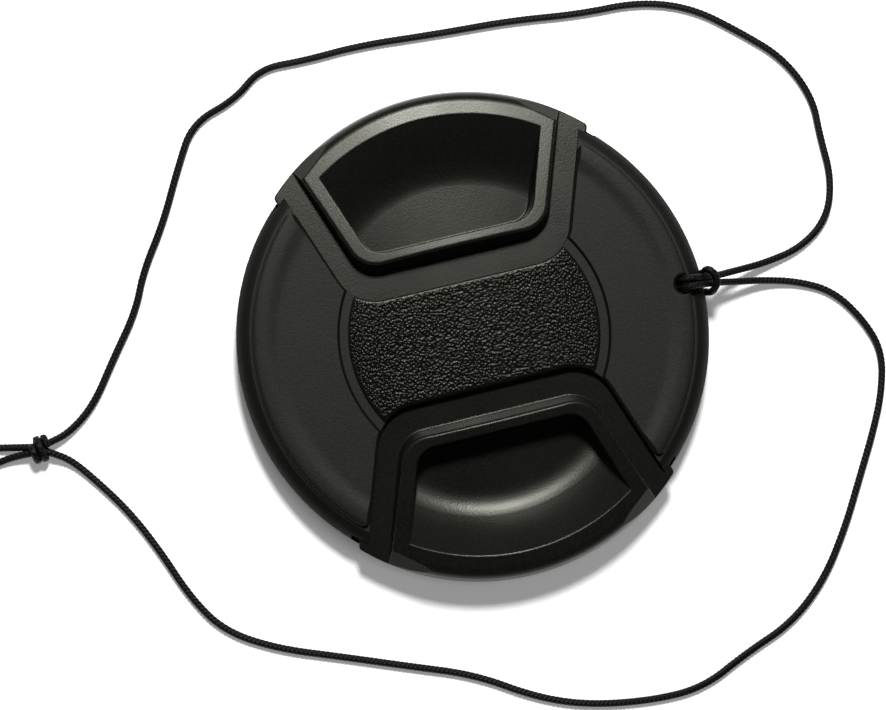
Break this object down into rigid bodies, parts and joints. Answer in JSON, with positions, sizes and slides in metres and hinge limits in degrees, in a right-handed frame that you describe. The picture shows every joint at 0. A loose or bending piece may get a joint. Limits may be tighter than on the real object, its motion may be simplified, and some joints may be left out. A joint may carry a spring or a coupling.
{
  "type": "camera lens cap",
  "caption": "Round centre-pinch camera lens cap with a grained middle pad, raised finger-scoop tabs that slide in against springs, and a thin braided keeper cord hitched through its rim.",
  "frame": {"origin": "on the face that the cap rests on, under the middle of the cover", "axes": "+Z to the front of the cap, the tabs along Y, the cord hole on +X"},
  "size_m": [0.1468, 0.0926, 0.0082],
  "materials": {
    "cover_plastic": "moulded black ABS with a fine matt texture, and pebble grain on the pad",
    "tab_plastic": "moulded black ABS, satin",
    "back_plastic": "moulded black ABS, plain",
    "spring_steel": "drawn spring wire",
    "cord_nylon": "braided black nylon"
  },
  "bodies": {
    "cap_body": {"front_cover": "cover_plastic", "back_plate": "back_plastic", "left_spring": "spring_steel", "right_spring": "spring_steel", "cord_upper_strand": "cord_nylon", "cord_lower_strand": "cord_nylon", "cord_end_loop": "cord_nylon", "cord_hitch": "cord_nylon", "cord_knot": "cord_nylon"},
    "upper_tab": {"upper_pinch_tab": "tab_plastic"},
    "lower_tab": {"lower_pinch_tab": "tab_plastic"}
  },
  "joints": [
    {"name": "upper_tab_press", "type": "slide", "parent": "cap_body", "child": "upper_tab", "axis": [0, -1, 0], "range_m": [0, 0.0026], "stiffness_N_per_m": 400, "springref_m": -0.006, "deforming": ["left_spring", "right_spring"]},
    {"name": "lower_tab_press", "type": "slide", "parent": "cap_body", "child": "lower_tab", "axis": [0, 1, 0], "range_m": [0, 0.0026], "stiffness_N_per_m": 400, "springref_m": -0.006, "deforming": ["left_spring", "right_spring"]}
  ]
}
